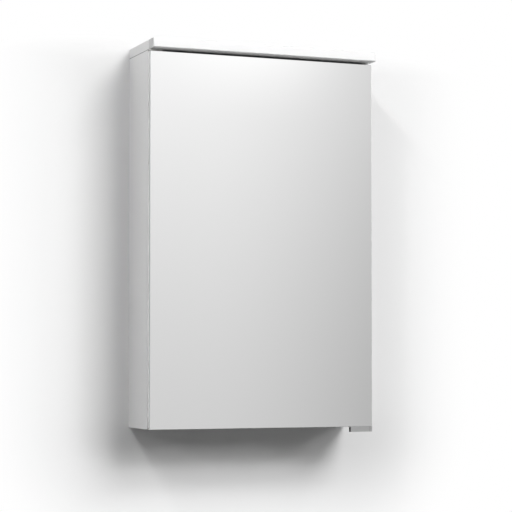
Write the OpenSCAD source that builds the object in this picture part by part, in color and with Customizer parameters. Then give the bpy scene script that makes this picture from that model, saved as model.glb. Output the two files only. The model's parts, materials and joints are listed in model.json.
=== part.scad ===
// Wall-hung mirror cabinet with one mirror door and a light profile over it.
// Millimetres. +Z is up, +X is to the right seen from the room, the wall is the plane y = 0
// and the room lies towards -Y. The origin is the middle of the wall rail's screw line.

/* [Carcass] */
// Width of the cabinet
cab_w = 400; // [360:1:600]
// Height from the underside to the top of the top board
cab_h = 640; // [600:1:720]
// Depth of the side panels, from the wall to their front edge
body_d = 99; // [90:1:140]
// Thickness of the side panels
side_t = 12; // [12:0.5:18]
// Thickness of the top board
top_t = 16; // [16:0.5:20]
// How far the top board stands in front of the side panels, over the door
top_overhang = 6; // [5:0.5:6.5]
// Thickness of the bottom panel
bottom_t = 12; // [11:0.5:18]
// Thickness of the back panel
back_t = 3; // [2.5:0.1:5]
// Depth of the service space between the wall and the back panel
void_d = 20; // [20:0.5:26]
// Depth of the grooves that hold the back panel
groove_d = 5; // [3:0.1:6]
// Play of the back panel in its grooves, each side
groove_play = 0.15; // [0.05:0.05:0.3]
// Height of the top of the cabinet above the wall screws
screw_drop = 80; // [72:1:110]
// Radius of the small round on the outer front edges of the side panels
edge_r = 1; // [0.5:0.1:1.5]

/* [Door] */
// Gap between the carcass and the back of the door
door_gap = 1.5; // [1.5:0.1:3]
// Gap between the door and the light profile over it
door_top_gap = 3.2; // [3:0.1:5]
// Thickness of the door panel
panel_t = 8; // [8:0.1:10]
// Thickness of the front mirror glass
mirror_t = 4; // [3:0.1:5]
// Thickness of the inner mirror glass, let into the panel
inner_t = 3; // [2:0.1:3.5]
// Margin of the panel left round the inner mirror
inner_margin = 22; // [14:1:40]
// Play round the inner mirror in its pocket
inner_play = 0.3; // [0.2:0.05:0.6]
// Width of the bright arris on the front mirror's edges
arris = 0.5; // [0.3:0.1:1]

/* [Door pivots] */
// Distance of the pivot axis from the door's hinge edge and from the back of the door
pivot_inset = 4; // [4:0.1:4.5]
// Radius of the pivot pins
pin_r = 1.5; // [1.2:0.05:1.6]
// Running clearance of the pins in their bushes, on the radius
pin_clearance = 0.05; // [0.03:0.01:0.08]
// Wall of the pivot bushes
bush_wall = 1; // [0.8:0.05:1.1]
// Depth of the bushes in the door
bush_l = 12; // [10:0.5:16]
// Thickness of a bush's flange
bush_flange_t = 0.8; // [0.6:0.1:1]
// Width of a bush's flange beyond its sleeve
bush_flange_w = 0.7; // [0.4:0.1:0.9]
// Thickness of the pivot plates
plate_t = 2; // [1.5:0.1:2]
// Width of the pivot plates
plate_w = 5.8; // [5.6:0.1:6]
// Length of the top pivot plate's leg behind the axis
top_leg_l = 34; // [28:1:46]
// Width of that leg
top_leg_w = 10; // [8:0.5:14]
// Gap between that leg and the side panel
top_leg_gap = 0.5; // [0.3:0.1:2]
// Length of that leg's screws
top_plate_screw_l = 12; // [10:0.5:14]
// Length of the bottom pivot plate under the side panel
bottom_plate_l = 30; // [26:1:32]
// Gap between a pivot plate and what turns over it
plate_gap = 0.1; // [0.1:0.05:0.3]
// Play round the bottom pivot plate in the side panel
plate_play = 0.1; // [0.05:0.05:0.3]
// Play beside the bottom pivot plate in the door's notch
notch_play = 0.5; // [0.3:0.1:1]

/* [Grip] */
// Length of the finger grip under the door
grip_w = 40; // [30:1:80]
// Height of the grip's face below the door
grip_h = 9; // [8:0.5:14]
// Depth of the grip at its end caps
grip_d = 7.2; // [6:0.1:8]
// Thickness of the grip's face and flange
grip_t = 1.2; // [1.2:0.1:2]
// Thickness of the grip's end caps
grip_cap_t = 1.5; // [1:0.1:2]

/* [Light profile] */
// How far the profile stands in front of the door
profile_overhang = 17; // [16:0.5:30]
// Wall thickness of the extrusion
profile_wall = 1.6; // [1.4:0.1:2]
// Thickness of the profile's end caps
end_cap_t = 1.5; // [1.2:0.1:3]
// Chamfer under the profile's front
front_chamfer = 1.5; // [0.5:0.1:1.6]
// Length of the tongue that lies on the top board
tongue_l = 14; // [12:0.5:18]
// Distance from a cabinet side to the end of the tongue
tongue_inset = 14; // [12.5:0.5:30]
// Width of the chamber that holds the light strip
chamber_w = 13.9; // [12.5:0.1:14]
// Width and height of the lips that carry the diffuser
lip = 1.2; // [1:0.1:1.5]
// Inner radius of the ports that the end caps' pins enter
port_r = 1.3; // [1.2:0.05:1.4]
// Wall of the ports
port_wall = 1.3; // [1.1:0.1:1.5]
// Clearance of pins, strips and boards that slide into the extrusion
slide_play = 0.1; // [0.05:0.05:0.2]
// Thickness of the diffuser's flange
diffuser_t = 1.5; // [1.2:0.1:2]

/* [Light strip] */
// Thickness of the circuit board
board_t = 1.4; // [1:0.1:1.6]
// Distance between two light chips
chip_pitch = 16; // [14:1:24]
// Length and width of a chip
chip_size = 3.5; // [2.8:0.1:5]
// Height of a chip
chip_h = 0.8; // [0.6:0.1:1.2]

/* [Shelves] */
// Number of glass shelves
shelf_count = 3; // [3:1:3]
// Height of the lowest shelf's underside above the cabinet's underside
shelf_first_h = 160; // [140:1:200]
// Distance from shelf to shelf
shelf_pitch = 144; // [130:1:150]
// Thickness of a glass shelf
shelf_t = 5; // [4:0.5:6]
// Depth of a glass shelf
shelf_d = 68; // [60:1:72]
// Chamfer on a glass shelf's long edges
shelf_chamfer = 0.6; // [0.3:0.1:1]
// Gap between a shelf and each side panel
shelf_side_gap = 1.5; // [1:0.1:3]
// Gap between a shelf and the back panel
shelf_back_gap = 1; // [0.5:0.1:3]
// Radius of the shelf pins
shelf_pin_r = 2.5; // [2:0.1:3]
// Clearance of the shelf pins in their holes, on the radius
shelf_pin_play = 0.1; // [0.05:0.05:0.2]
// Depth of the shelf pin holes
shelf_hole_d = 8; // [6:0.5:9]
// Distance between the holes of one shelf pin row
shelf_hole_pitch = 32; // [25:1:32]
// Distance of the pin holes from the front and back edge of a shelf
shelf_pin_inset = 13; // [10:1:20]
// How far a shelf pin reaches under the shelf
shelf_pin_reach = 9; // [7:0.5:12]

/* [Wall fixing] */
// Gap between each end of the wall rail and the side panel
rail_end_gap = 3; // [1:0.5:4]
// Thickness of the wall rail
rail_t = 2; // [1.5:0.1:2.5]
// Height of the rail's flat leg, centred on the screws
rail_leg_h = 24; // [20:1:30]
// Height of the rail's raised leg
rail_hook_h = 18; // [14:1:24]
// Distance of the raised leg's front from the wall
rail_d = 8; // [8:0.1:9]
// Distance between the wall screws
screw_pitch = 300; // [200:1:320]
// Radius of the wall screw holes
screw_hole_r = 3; // [2.5:0.1:3.5]
// Width of a hanger housing
hanger_w = 20; // [18:0.5:26]
// Height of a hanger housing
hanger_h = 60; // [50:1:70]
// Radius of a hanger's pegs in the side panel
peg_r = 4; // [3:0.1:5]
// Length of a hanger's pegs
peg_l = 8; // [6:0.5:9]
// Distance between a hanger's pegs
peg_pitch = 32; // [28:1:36]
// Thickness of a hanger's hook
hook_t = 2; // [1.5:0.1:2.3]
// Width of a hanger's hook
hook_w = 12; // [10:0.5:14]
// Clearance of the hook on the rail
hook_play = 0.3; // [0.1:0.05:0.4]
// Radius of the access holes in the back panel, in front of the adjusting screws
access_r = 4; // [3.5:0.1:5]
// Distance between a hanger's two adjusting screws
adjuster_pitch = 24; // [20:1:30]
// Radius of the adjusting screws
adjuster_r = 3; // [2.5:0.1:3.3]

/* [Electrics] */
// Length of the light driver
driver_l = 130; // [110:1:150]
// Distance of the driver's right end from the switch box's middle
driver_margin = 20; // [10:1:40]
// Height of the light driver
driver_h = 38; // [30:1:45]
// Thickness of the light driver
driver_t = 16; // [13:0.5:17]
// Height of the driver's underside below the wall screws
driver_drop = 120; // [100:1:200]
// Width of the mains terminal box
terminal_w = 60; // [50:1:80]
// Height of the mains terminal box
terminal_h = 46; // [40:1:60]
// Distance between the terminal box and the driver
terminal_gap = 50; // [40:1:70]
// Wall of the terminal box
terminal_wall = 2; // [1.5:0.1:2.5]
// Radius of the cable gland's bore
gland_r = 4; // [3:0.1:5]
// Radius of the mains lead between the terminal box and the driver
mains_lead_r = 3.2; // [2.8:0.1:4]
// Radius of the low-voltage leads
lead_r = 1.5; // [1:0.1:2]
// Bend radius of the low-voltage leads
lead_bend_r = 8; // [6:0.5:8]
// Gap between the wall rail and the leads that rise in front of it
lead_rail_gap = 2.5; // [1:0.5:2.5]
// Radius of the holes that the low-voltage leads pass
lead_hole_r = 3.5; // [2.5:0.1:4]
// Distance of the strip's lead from the driver's right end
strip_lead_inset = 58; // [30:1:90]

/* [Switch] */
// Width of the switch box
box_w = 60; // [50:1:80]
// Height of the switch box
box_h = 36; // [30:1:40]
// Depth of the switch box
box_d = 22; // [20:0.5:28]
// Wall of the switch box
box_wall = 2; // [1.5:0.1:2.5]
// Gap between the switch box and the top board
box_drop = 5; // [3:0.5:12]
// Distance of the switch box's middle from the right side panel
box_inset = 78; // [56:1:100]
// Length of the rocker
rocker_w = 19.6; // [18:0.1:24]
// Half height of the rocker
rocker_half_h = 6.4; // [5.5:0.1:7]
// Tilt of the rocker to each side, in degrees
rocker_tilt = 8; // [5:0.5:10]
// Radius of the rocker's pivots
rocker_pivot_r = 1.5; // [1.2:0.05:1.8]
// Running clearance of the rocker's pivots, on the radius
rocker_pivot_play = 0.05; // [0.03:0.01:0.08]
// Gap round the rocker in the box front
rocker_play = 0.4; // [0.2:0.05:0.6]

/* [Catch] */
// Height of the magnetic catch's middle above the cabinet's underside
catch_h = 90; // [70:1:130]
// Length of the catch
catch_l = 40; // [34:1:50]
// Width of the catch, from the side panel inwards
catch_w = 11; // [9:0.5:14]
// Depth of the catch
catch_d = 24; // [20:0.5:30]
// Gap between the magnet and the strike plate
catch_gap = 0.3; // [0.2:0.05:0.6]
// Thickness of the strike plate
strike_t = 1.2; // [1:0.1:2]
// Radius of the door bumpers
bumper_r = 4; // [3:0.1:5]
// Gap between the closed door's bumpers and the side panel
bumper_gap = 0.3; // [0.2:0.05:0.5]

/* [Dowels and screws] */
// Radius of the carcass dowels
dowel_r = 3; // [2.5:0.1:3.5]
// Glue gap round a dowel
dowel_play = 0.05; // [0.03:0.01:0.1]
// Depth of a dowel in the thin side panel
dowel_short = 8; // [6:0.5:9]
// Depth of a dowel in the other board
dowel_long = 14; // [10:0.5:20]
// Distance of the dowels from the front and back edges
dowel_inset = 30; // [28:1:40]
// Shank radius of the small screws
screw_r = 1.4; // [1.2:0.05:1.6]
// Head radius of the small screws
screw_head_r = 2.4; // [2.2:0.05:2.7]
// Height of the small screws' heads
screw_head_h = 1; // [0.8:0.1:1.4]
// Clearance of a small screw's shank in its hole
screw_play = 0.05; // [0.03:0.01:0.1]

/* [Hidden] */
$fn = 48;
// Small overlap that makes cuts run past a face
eps = 0.01;
// Height of a raised screw head
pan_head_h = 1.4;

// Heights
z_top = screw_drop;
z_bottom = z_top - cab_h;
z_hood = z_top - top_t;
z_door_top = z_hood - door_top_gap;
z_floor = z_bottom + bottom_t;
door_h = z_door_top - z_bottom;

// Widths and depths
half_w = cab_w / 2;
inner_half = half_w - side_t;
back_y = -void_d;
back_front_y = back_y - back_t;
front_y = -body_d;
board_front_y = front_y - top_overhang;
door_back_y = front_y - door_gap;
panel_front_y = door_back_y - panel_t;
door_front_y = panel_front_y - mirror_t;
profile_d = board_front_y - door_front_y + profile_overhang;

// Places along X that the driver, the switch and their leads share
box_x = inner_half - box_inset;
driver_right = box_x + driver_margin;
driver_left = driver_right - driver_l;
strip_lead_x = driver_right - strip_lead_inset;

// Pivot axis of the door
axis_x = -half_w + pivot_inset;
axis_y = door_back_y - pivot_inset;
bush_r = pin_r + pin_clearance + bush_wall;
notch_h = plate_t + plate_gap + bush_flange_t;

// Extrudes a profile drawn as [distance forward, height] along X, centred on x = 0
module along_x(length) {
    rotate([90, 0, -90])
        linear_extrude(height = length, center = true)
            children();
}

// A box from its lowest corner to its highest
module block(low, high) {
    translate(low)
        cube(high - low);
}

// A cylinder from a point along a direction given as rotation angles
module rod(at, turn, r, length) {
    translate(at)
        rotate(turn)
            cylinder(r = r, h = length);
}

// A countersunk screw whose head is flush at z = 0 and whose shank points down
module screw_down(length) {
    translate([0, 0, -screw_head_h])
        cylinder(r1 = screw_r, r2 = screw_head_r, h = screw_head_h);
    translate([0, 0, -length])
        cylinder(r = screw_r, h = length - screw_head_h + eps);
}

// The hole for such a screw, with its clearance all round
module screw_hole_down(length) {
    translate([0, 0, -screw_head_h - screw_play])
        cylinder(r1 = screw_r + screw_play, r2 = screw_head_r + screw_play, h = screw_head_h + screw_play);
    translate([0, 0, -length - screw_play])
        cylinder(r = screw_r + screw_play, h = length + screw_play);
    translate([0, 0, -eps])
        cylinder(r = screw_head_r + screw_play, h = screw_head_h);
}

// Carcass

// Rows and columns of the shelf pins
shelf_y_front = back_front_y - shelf_back_gap - shelf_d + shelf_pin_inset;
shelf_y_back = back_front_y - shelf_back_gap - shelf_pin_inset;
shelf_pin_flat = 1.5;
shelf_pin_collar = [4, 1];
function shelf_z(i) = z_bottom + shelf_first_h + i * shelf_pitch;
function shelf_pin_z(i) = shelf_z(i) - shelf_pin_flat;

// Dowel places along the depth
dowel_ys = [-dowel_inset, front_y + dowel_inset];
dowel_x = half_w - side_t / 2;
dowel_hole_r = dowel_r + dowel_play;
z_dowel_bottom = z_bottom + bottom_t / 2;

// Hanger places
hanger_back_y = -rail_d - hook_play - hook_t;
hanger_front_y = back_y;
hanger_mid_z = rail_leg_h / 2 + rail_hook_h - hanger_h / 2 + hook_t;
hanger_mid_y = (hanger_back_y + hanger_front_y) / 2;

module side_panel(side) {
    outer = side * half_w;
    inner = side * inner_half;
    rounded = side * (half_w - edge_r);
    mouth = inner - side * eps;
    groove = inner + side * groove_d;
    difference() {
        union() {
            block([min(outer, inner), front_y + edge_r, z_bottom], [max(outer, inner), 0, z_hood]);
            block([min(rounded, inner), front_y, z_bottom],
                  [max(rounded, inner), front_y + edge_r + eps, z_hood]);
            translate([rounded, front_y + edge_r, z_bottom])
                cylinder(r = edge_r, h = z_hood - z_bottom);
        }
        // Groove for the back panel
        block([min(mouth, groove), back_front_y - groove_play, z_floor - groove_d],
              [max(mouth, groove), back_y + groove_play, z_hood + eps]);
        // Rows of shelf pin holes
        for (i = [0 : shelf_count - 1], step = [-1 : 1], y = [shelf_y_front, shelf_y_back])
            rod([mouth, y, shelf_pin_z(i) + step * shelf_hole_pitch], [0, side * 90, 0],
                shelf_pin_r + shelf_pin_play, shelf_hole_d);
        // Dowel holes to the bottom panel and to the top board
        for (y = dowel_ys) {
            rod([mouth, y, z_dowel_bottom], [0, side * 90, 0], dowel_hole_r, dowel_short + dowel_play);
            rod([side * dowel_x, y, z_hood + eps], [180, 0, 0], dowel_hole_r, dowel_long + dowel_play);
        }
        // Peg holes of the hanger
        for (s = [-1, 1])
            rod([mouth, hanger_mid_y, hanger_mid_z + s * peg_pitch / 2], [0, side * 90, 0],
                peg_r + dowel_play, peg_l + dowel_play);
        if (side < 0)
            bottom_plate_recess();
        else
            for (s = [-1, 1])
                rod([inner - eps, catch_mid_y, catch_mid_z + s * catch_screw_pitch / 2], [0, 90, 0],
                    screw_r + screw_play, catch_screw_depth);
    }
}

module side_panel_left() {
    color("whitesmoke")
        side_panel(-1);
}

module side_panel_right() {
    color("whitesmoke")
        side_panel(1);
}

// Pocket over the service space, where the strip's lead turns forward
pocket_w = 20;
pocket_roof = 4;
z_lead_channel = z_hood + lead_bend_r;

module top_board() {
    color("white")
        difference() {
            block([-half_w, board_front_y, z_hood], [half_w, 0, z_top]);
            // Groove for the back panel
            block([-inner_half - groove_d, back_front_y - groove_play, z_hood - eps],
                  [inner_half + groove_d, back_y + groove_play, z_hood + groove_d]);
            // Rebate for the light profile's tongue
            block([-half_w + tongue_inset - slide_play, board_front_y - eps, z_top - profile_wall],
                  [half_w - tongue_inset + slide_play, board_front_y + tongue_l + slide_play, z_top + eps]);
            // Pilot holes under the tongue
            for (x = profile_screw_xs)
                translate([x, board_front_y + tongue_l / 2, z_top])
                    screw_hole_down(profile_screw_l);
            // Pilot holes over the top pivot plate
            for (y = top_plate_screw_ys)
                rod([top_leg_x, y, z_hood - eps], [0, 0, 0], screw_r + screw_play,
                    top_plate_screw_l - plate_t + screw_play);
            for (side = [-1, 1], y = dowel_ys)
                rod([side * dowel_x, y, z_hood - eps], [0, 0, 0], dowel_hole_r, dowel_short + dowel_play);
            // Way of the strip's lead
            block([strip_lead_x - pocket_w / 2, back_y + groove_play - eps, z_hood - eps],
                  [strip_lead_x + pocket_w / 2, eps, z_top - pocket_roof]);
            rod([strip_lead_x, eps, z_lead_channel], [90, 0, 0], lead_hole_r, -board_front_y + 2 * eps);
        }
}

module bottom_panel() {
    color("white")
        difference() {
            block([-inner_half, front_y, z_bottom], [inner_half, 0, z_floor]);
            block([-inner_half - eps, back_front_y - groove_play, z_floor - groove_d],
                  [inner_half + eps, back_y + groove_play, z_floor + eps]);
            for (side = [-1, 1], y = dowel_ys)
                rod([side * (inner_half + eps), y, z_dowel_bottom], [0, -side * 90, 0], dowel_hole_r,
                    dowel_long + dowel_play);
        }
}

module back_panel() {
    edge = groove_d - groove_play;
    color("white")
        difference() {
            block([-inner_half - edge, back_front_y, z_floor - edge],
                  [inner_half + edge, back_y, z_hood + edge]);
            // Access to the hangers' adjusting screws
            for (side = [-1, 1], s = [-1, 1])
                rod([side * hanger_mid_x, back_y + eps, hanger_mid_z + s * adjuster_pitch / 2], [90, 0, 0],
                    access_r + screw_play, back_t + 2 * eps);
            // Way of the switch's lead
            rod([box_x, back_y + eps, box_mid_z], [90, 0, 0], lead_hole_r, back_t + 2 * eps);
            // Driver and terminal box screws
            for (x = driver_screw_xs)
                rod([x, back_y + eps, driver_mid_z], [90, 0, 0], screw_r + screw_play, back_t + 2 * eps);
        }
}

module carcass_dowels() {
    color("burlywood")
        for (side = [-1, 1], y = dowel_ys) {
            rod([side * (inner_half + dowel_short), y, z_dowel_bottom], [0, -side * 90, 0], dowel_r,
                dowel_short + dowel_long);
            rod([side * dowel_x, y, z_hood - dowel_long], [0, 0, 0], dowel_r, dowel_long + dowel_short);
        }
}

// Shelves

module glass_shelf(i) {
    c = shelf_chamfer;
    color("lightcyan", 0.5)
        translate([0, back_front_y - shelf_back_gap, shelf_z(i)])
            along_x(2 * (inner_half - shelf_side_gap))
                polygon([
                    [c, 0], [shelf_d - c, 0], [shelf_d, c], [shelf_d, shelf_t - c],
                    [shelf_d - c, shelf_t], [c, shelf_t], [0, shelf_t - c], [0, c],
                ]);
}

module glass_shelf_lower() {
    glass_shelf(0);
}

module glass_shelf_middle() {
    glass_shelf(1);
}

module glass_shelf_upper() {
    glass_shelf(2);
}

// A pin with a collar against the side panel and a flat on top for the shelf
module shelf_pin() {
    translate([0, 0, -shelf_pin_reach])
        cylinder(r = shelf_pin_r, h = shelf_pin_reach + shelf_hole_d - shelf_pin_play);
    translate([0, 0, -shelf_pin_collar[1]])
        cylinder(r = shelf_pin_collar[0], h = shelf_pin_collar[1]);
}

module shelf_pins() {
    color("silver")
        difference() {
            for (side = [-1, 1], i = [0 : shelf_count - 1], y = [shelf_y_front, shelf_y_back])
                translate([side * inner_half, y, shelf_pin_z(i)])
                    rotate([0, side * 90, 0])
                        shelf_pin();
            for (i = [0 : shelf_count - 1])
                block([-inner_half + shelf_side_gap / 2, back_front_y - shelf_back_gap - shelf_d, shelf_z(i)],
                      [inner_half - shelf_side_gap / 2, back_front_y - shelf_back_gap, shelf_z(i) + shelf_t]);
        }
}

// Light profile, drawn as [distance in front of the top board, height over its underside]

chamber_front = profile_d - profile_wall;
chamber_back = chamber_front - chamber_w;
board_top = top_t - profile_wall;
board_bottom = board_top - board_t;
rib = 0.8;
port_out = port_r + port_wall;
// The ports sink a little into the walls that they grow from
port_sink = 0.4;
port_low = profile_wall + port_out - port_sink;
ports = [
    [port_low, board_top - port_out + port_sink],
    [chamber_back - profile_wall - port_out + port_sink, port_low],
];
port_slot = 0.9;
port_pin_l = 7;
profile_l = cab_w - 2 * end_cap_t;
profile_screw_l = 12;
profile_screw_xs = [-half_w * 0.7, 0, half_w * 0.7];
chamfer = 0.5;

module profile_outline() {
    polygon([
        [0, 0], [profile_d - front_chamfer, 0], [profile_d, front_chamfer],
        [profile_d, top_t - chamfer], [profile_d - chamfer, top_t], [0, top_t],
    ]);
}

module rear_chamber(grow = 0) {
    translate([profile_wall - grow, profile_wall - grow])
        square([chamber_back - 2 * profile_wall + 2 * grow, top_t - 2 * profile_wall + 2 * grow]);
}

module port_walls() {
    for (p = ports)
        translate(p)
            circle(r = port_out);
}

module port_bores() {
    for (i = [0, 1])
        translate(ports[i]) {
            circle(r = port_r);
            // Each port is open towards the middle of the rear chamber
            translate([i == 0 ? 0 : -port_out - eps, -port_slot / 2])
                square([port_out + eps, port_slot]);
        }
}

module profile_section() {
    difference() {
        union() {
            difference() {
                profile_outline();
                // Rear chamber over the door
                rear_chamber();
                // Chamber of the light strip
                translate([chamber_back, lip])
                    square([chamber_w, board_top - lip]);
                // Opening between the lips
                translate([chamber_back + lip, -eps])
                    square([chamber_w - 2 * lip, lip + 2 * eps]);
            }
            intersection() {
                port_walls();
                rear_chamber(eps);
            }
            // Ribs that carry the circuit board
            for (x = [chamber_back, chamber_front - rib])
                translate([x - eps, board_bottom - slide_play - rib])
                    square([rib + 2 * eps, rib]);
        }
        port_bores();
    }
}

module light_profile() {
    color("white")
        translate([0, board_front_y, z_hood])
            difference() {
                union() {
                    along_x(profile_l)
                        profile_section();
                    block([-half_w + tongue_inset, -eps, board_top],
                          [half_w - tongue_inset, tongue_l, top_t]);
                }
                for (x = profile_screw_xs)
                    translate([x, tongue_l / 2, top_t])
                        screw_hole_down(profile_screw_l);
                // Way of the strip's lead through the rear wall and the partition
                rod([strip_lead_x, eps, z_lead_channel - z_hood], [90, 0, 0], lead_hole_r,
                    chamber_back + 2 * eps);
            }
}

module profile_screws() {
    color("silver")
        for (x = profile_screw_xs)
            translate([x, board_front_y + tongue_l / 2, z_top])
                screw_down(profile_screw_l);
}

// An end cap with two pins that enter the ports
module end_cap(side) {
    translate([side * (half_w - end_cap_t / 2), board_front_y, z_hood])
        along_x(end_cap_t)
            profile_outline();
    for (p = ports)
        rod([side * (half_w - end_cap_t), board_front_y - p[0], z_hood + p[1]], [0, -side * 90, 0],
            port_r - slide_play, port_pin_l);
}

module end_cap_left() {
    color("lightgray")
        end_cap(-1);
}

module end_cap_right() {
    color("lightgray")
        end_cap(1);
}

module led_board() {
    color("ivory")
        translate([0, board_front_y, z_hood])
            along_x(profile_l - 2 * slide_play)
                translate([chamber_back + slide_play, board_bottom])
                    square([chamber_w - 2 * slide_play, board_t]);
}

chip_count = 2 * floor((profile_l / 2 - chip_size) / chip_pitch);
chip_y = board_front_y - (chamber_back + chamber_front) / 2;

module led_chips() {
    color("gold")
        for (i = [0 : chip_count - 1])
            translate([(i - (chip_count - 1) / 2) * chip_pitch, chip_y, z_hood + board_bottom - chip_h / 2])
                cube([chip_size, chip_size, chip_h], center = true);
}

module light_diffuser() {
    color("white")
        translate([0, board_front_y, z_hood])
            along_x(profile_l - 2 * slide_play) {
                translate([chamber_back + lip + slide_play, 0])
                    square([chamber_w - 2 * lip - 2 * slide_play, lip + eps]);
                translate([chamber_back + slide_play, lip])
                    square([chamber_w - 2 * slide_play, diffuser_t]);
            }
}

// Leads

// A quarter bend in the plane x = 0, from pointing up to pointing to -Y, starting at the origin
module bend_forward(r) {
    translate([0, -r, 0])
        rotate([90, 0, 90])
            rotate_extrude(angle = 90)
                translate([r, 0])
                    circle(r = lead_r, $fn = 24);
}

driver_bottom = -driver_drop;
driver_top = driver_bottom + driver_h;
driver_mid_z = driver_bottom + driver_h / 2;
lead_y = rail_d + lead_rail_gap + lead_r;
driver_ear = 8;
driver_ear_t = 2;
driver_grooves = 5;
driver_groove = [2, 0.8];
driver_screw_xs = [driver_left - driver_ear / 2, driver_right + driver_ear / 2];

module strip_lead() {
    rise_top = z_lead_channel - lead_bend_r;
    end_y = chip_y + lead_bend_r / 2;
    end_z = z_lead_channel - lead_r;
    color("dimgray")
        translate([strip_lead_x, 0, 0]) {
            rod([0, -lead_y, driver_top], [0, 0, 0], lead_r, rise_top - driver_top);
            translate([0, -lead_y, rise_top])
                bend_forward(lead_bend_r);
            rod([0, -lead_y - lead_bend_r, z_lead_channel], [90, 0, 0], lead_r,
                -lead_y - lead_bend_r - end_y);
            // The bared end rises to the circuit board
            rod([0, end_y, end_z], [0, 0, 0], lead_r, z_hood + board_bottom - end_z);
        }
}

module led_driver() {
    color("gainsboro")
        difference() {
            union() {
                block([driver_left, back_y, driver_bottom], [driver_right, back_y + driver_t, driver_top]);
                block([driver_left - driver_ear, back_y, driver_mid_z - driver_ear],
                      [driver_right + driver_ear, back_y + driver_ear_t, driver_mid_z + driver_ear]);
            }
            for (x = driver_screw_xs)
                rod([x, back_y - eps, driver_mid_z], [-90, 0, 0], screw_r + screw_play,
                    driver_ear_t + 2 * eps);
            // Cooling grooves over the back
            for (i = [1 : driver_grooves])
                translate([0, 0, driver_bottom + i * driver_h / (driver_grooves + 1)])
                    block([driver_left - eps, back_y + driver_t - driver_groove[1], -driver_groove[0] / 2],
                          [driver_right + eps, back_y + driver_t + eps, driver_groove[0] / 2]);
        }
}

module driver_screws() {
    color("silver")
        for (x = driver_screw_xs) {
            rod([x, back_y + driver_ear_t, driver_mid_z], [90, 0, 0], screw_r, driver_ear_t + back_t);
            rod([x, back_y + driver_ear_t, driver_mid_z], [-90, 0, 0], screw_head_r, pan_head_h);
        }
}

terminal_right = driver_left - terminal_gap;
terminal_left = terminal_right - terminal_w;
terminal_mid_x = (terminal_left + terminal_right) / 2;
terminal_bottom = driver_mid_z - terminal_h / 2;
terminal_back = -2.5;
mains_y = (back_y + terminal_back) / 2;
gland_thread_r = gland_r + 2;
gland_nut_t = 5;
gland_reach = 12;
gland_inside = 3;

module driver_lead() {
    color("whitesmoke")
        rod([terminal_right - terminal_wall, mains_y, driver_mid_z], [0, 90, 0], mains_lead_r,
            terminal_gap + terminal_wall);
}

module terminal_box() {
    w = terminal_wall;
    color("lightgray")
        difference() {
            block([terminal_left, back_y, terminal_bottom],
                  [terminal_right, terminal_back - w, terminal_bottom + terminal_h]);
            block([terminal_left + w, back_y + w, terminal_bottom + w],
                  [terminal_right - w, 0, terminal_bottom + terminal_h - w]);
            rod([terminal_right - w - eps, mains_y, driver_mid_z], [0, 90, 0], mains_lead_r + 2 * slide_play,
                w + 2 * eps);
            rod([terminal_mid_x, mains_y, terminal_bottom - eps], [0, 0, 0], gland_thread_r + slide_play,
                w + 2 * eps);
        }
}

module terminal_lid() {
    color("gray")
        block([terminal_left, terminal_back - terminal_wall, terminal_bottom],
              [terminal_right, terminal_back, terminal_bottom + terminal_h]);
}

block_ways = 3;
block_size = [36, 10, 12];
wire_hole_r = 2;
clamp_hole_r = 1.6;

module terminal_block() {
    low_y = back_y + terminal_wall;
    color("ivory")
        translate([terminal_mid_x, low_y + block_size[1] / 2, driver_mid_z])
            difference() {
                cube(block_size, center = true);
                // Each way takes a wire from below and a clamping screw from the lid's side
                for (i = [0 : block_ways - 1])
                    translate([(i - (block_ways - 1) / 2) * block_size[0] / block_ways, 0, 0]) {
                        cylinder(r = wire_hole_r, h = block_size[2] + 2 * eps, center = true);
                        rod([0, 0, -block_size[2] / 4], [-90, 0, 0], clamp_hole_r, block_size[1] / 2 + eps);
                    }
            }
}

module cable_gland() {
    color("darkgray")
        translate([terminal_mid_x, mains_y, terminal_bottom])
            difference() {
                union() {
                    cylinder(r = gland_thread_r, h = terminal_wall + gland_inside);
                    translate([0, 0, -gland_nut_t])
                        cylinder(r = gland_thread_r + 1.5, h = gland_nut_t, $fn = 6);
                    // Clamping dome
                    translate([0, 0, -gland_reach])
                        cylinder(r1 = gland_thread_r - 1, r2 = gland_thread_r + 0.5,
                                 h = gland_reach - gland_nut_t);
                }
                translate([0, 0, -gland_reach - eps])
                    cylinder(r = gland_r, h = gland_reach + terminal_wall + gland_inside + 2 * eps);
            }
}

// Switch

box_top = z_hood - box_drop;
box_bottom = box_top - box_h;
box_mid_z = (box_top + box_bottom) / 2;
box_front = back_front_y - box_d;
// The rocker's axis lies this far behind the box front, and its face this far in front of its axis
rocker_axis_d = 4.5;
rocker_axis_y = box_front + rocker_axis_d;
rocker_reach = 6.5;
rocker_saddle = 0.9;
rocker_root = 2;
rocker_taper = 2.4;
rocker_edge = 0.4;
cheek_t = 2;
well_half_w = rocker_w / 2 + rocker_play;
well_half_h = rocker_half_h + rocker_reach * sin(rocker_tilt) + rocker_play;

module switch_box() {
    w = box_wall;
    color("white")
        difference() {
            union() {
                difference() {
                    block([box_x - box_w / 2, box_front, box_bottom],
                          [box_x + box_w / 2, back_front_y, box_top]);
                    block([box_x - box_w / 2 + w, box_front + w, box_bottom + w],
                          [box_x + box_w / 2 - w, back_front_y + eps, box_top - w]);
                }
                // Cheeks beside the rocker, which carry its pivots
                for (side = [-1, 1])
                    translate([box_x + side * (well_half_w + cheek_t / 2), 0, box_mid_z])
                        block([-cheek_t / 2, box_front + w - eps, -well_half_h],
                              [cheek_t / 2, rocker_axis_y + 2 * rocker_pivot_r + cheek_t / 2, well_half_h]);
            }
            block([box_x - well_half_w, box_front - eps, box_mid_z - well_half_h],
                  [box_x + well_half_w, box_front + w + eps, box_mid_z + well_half_h]);
            rod([box_x - well_half_w - cheek_t - eps, rocker_axis_y, box_mid_z], [0, 90, 0],
                rocker_pivot_r + rocker_pivot_play, 2 * (well_half_w + cheek_t + eps));
        }
}

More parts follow.
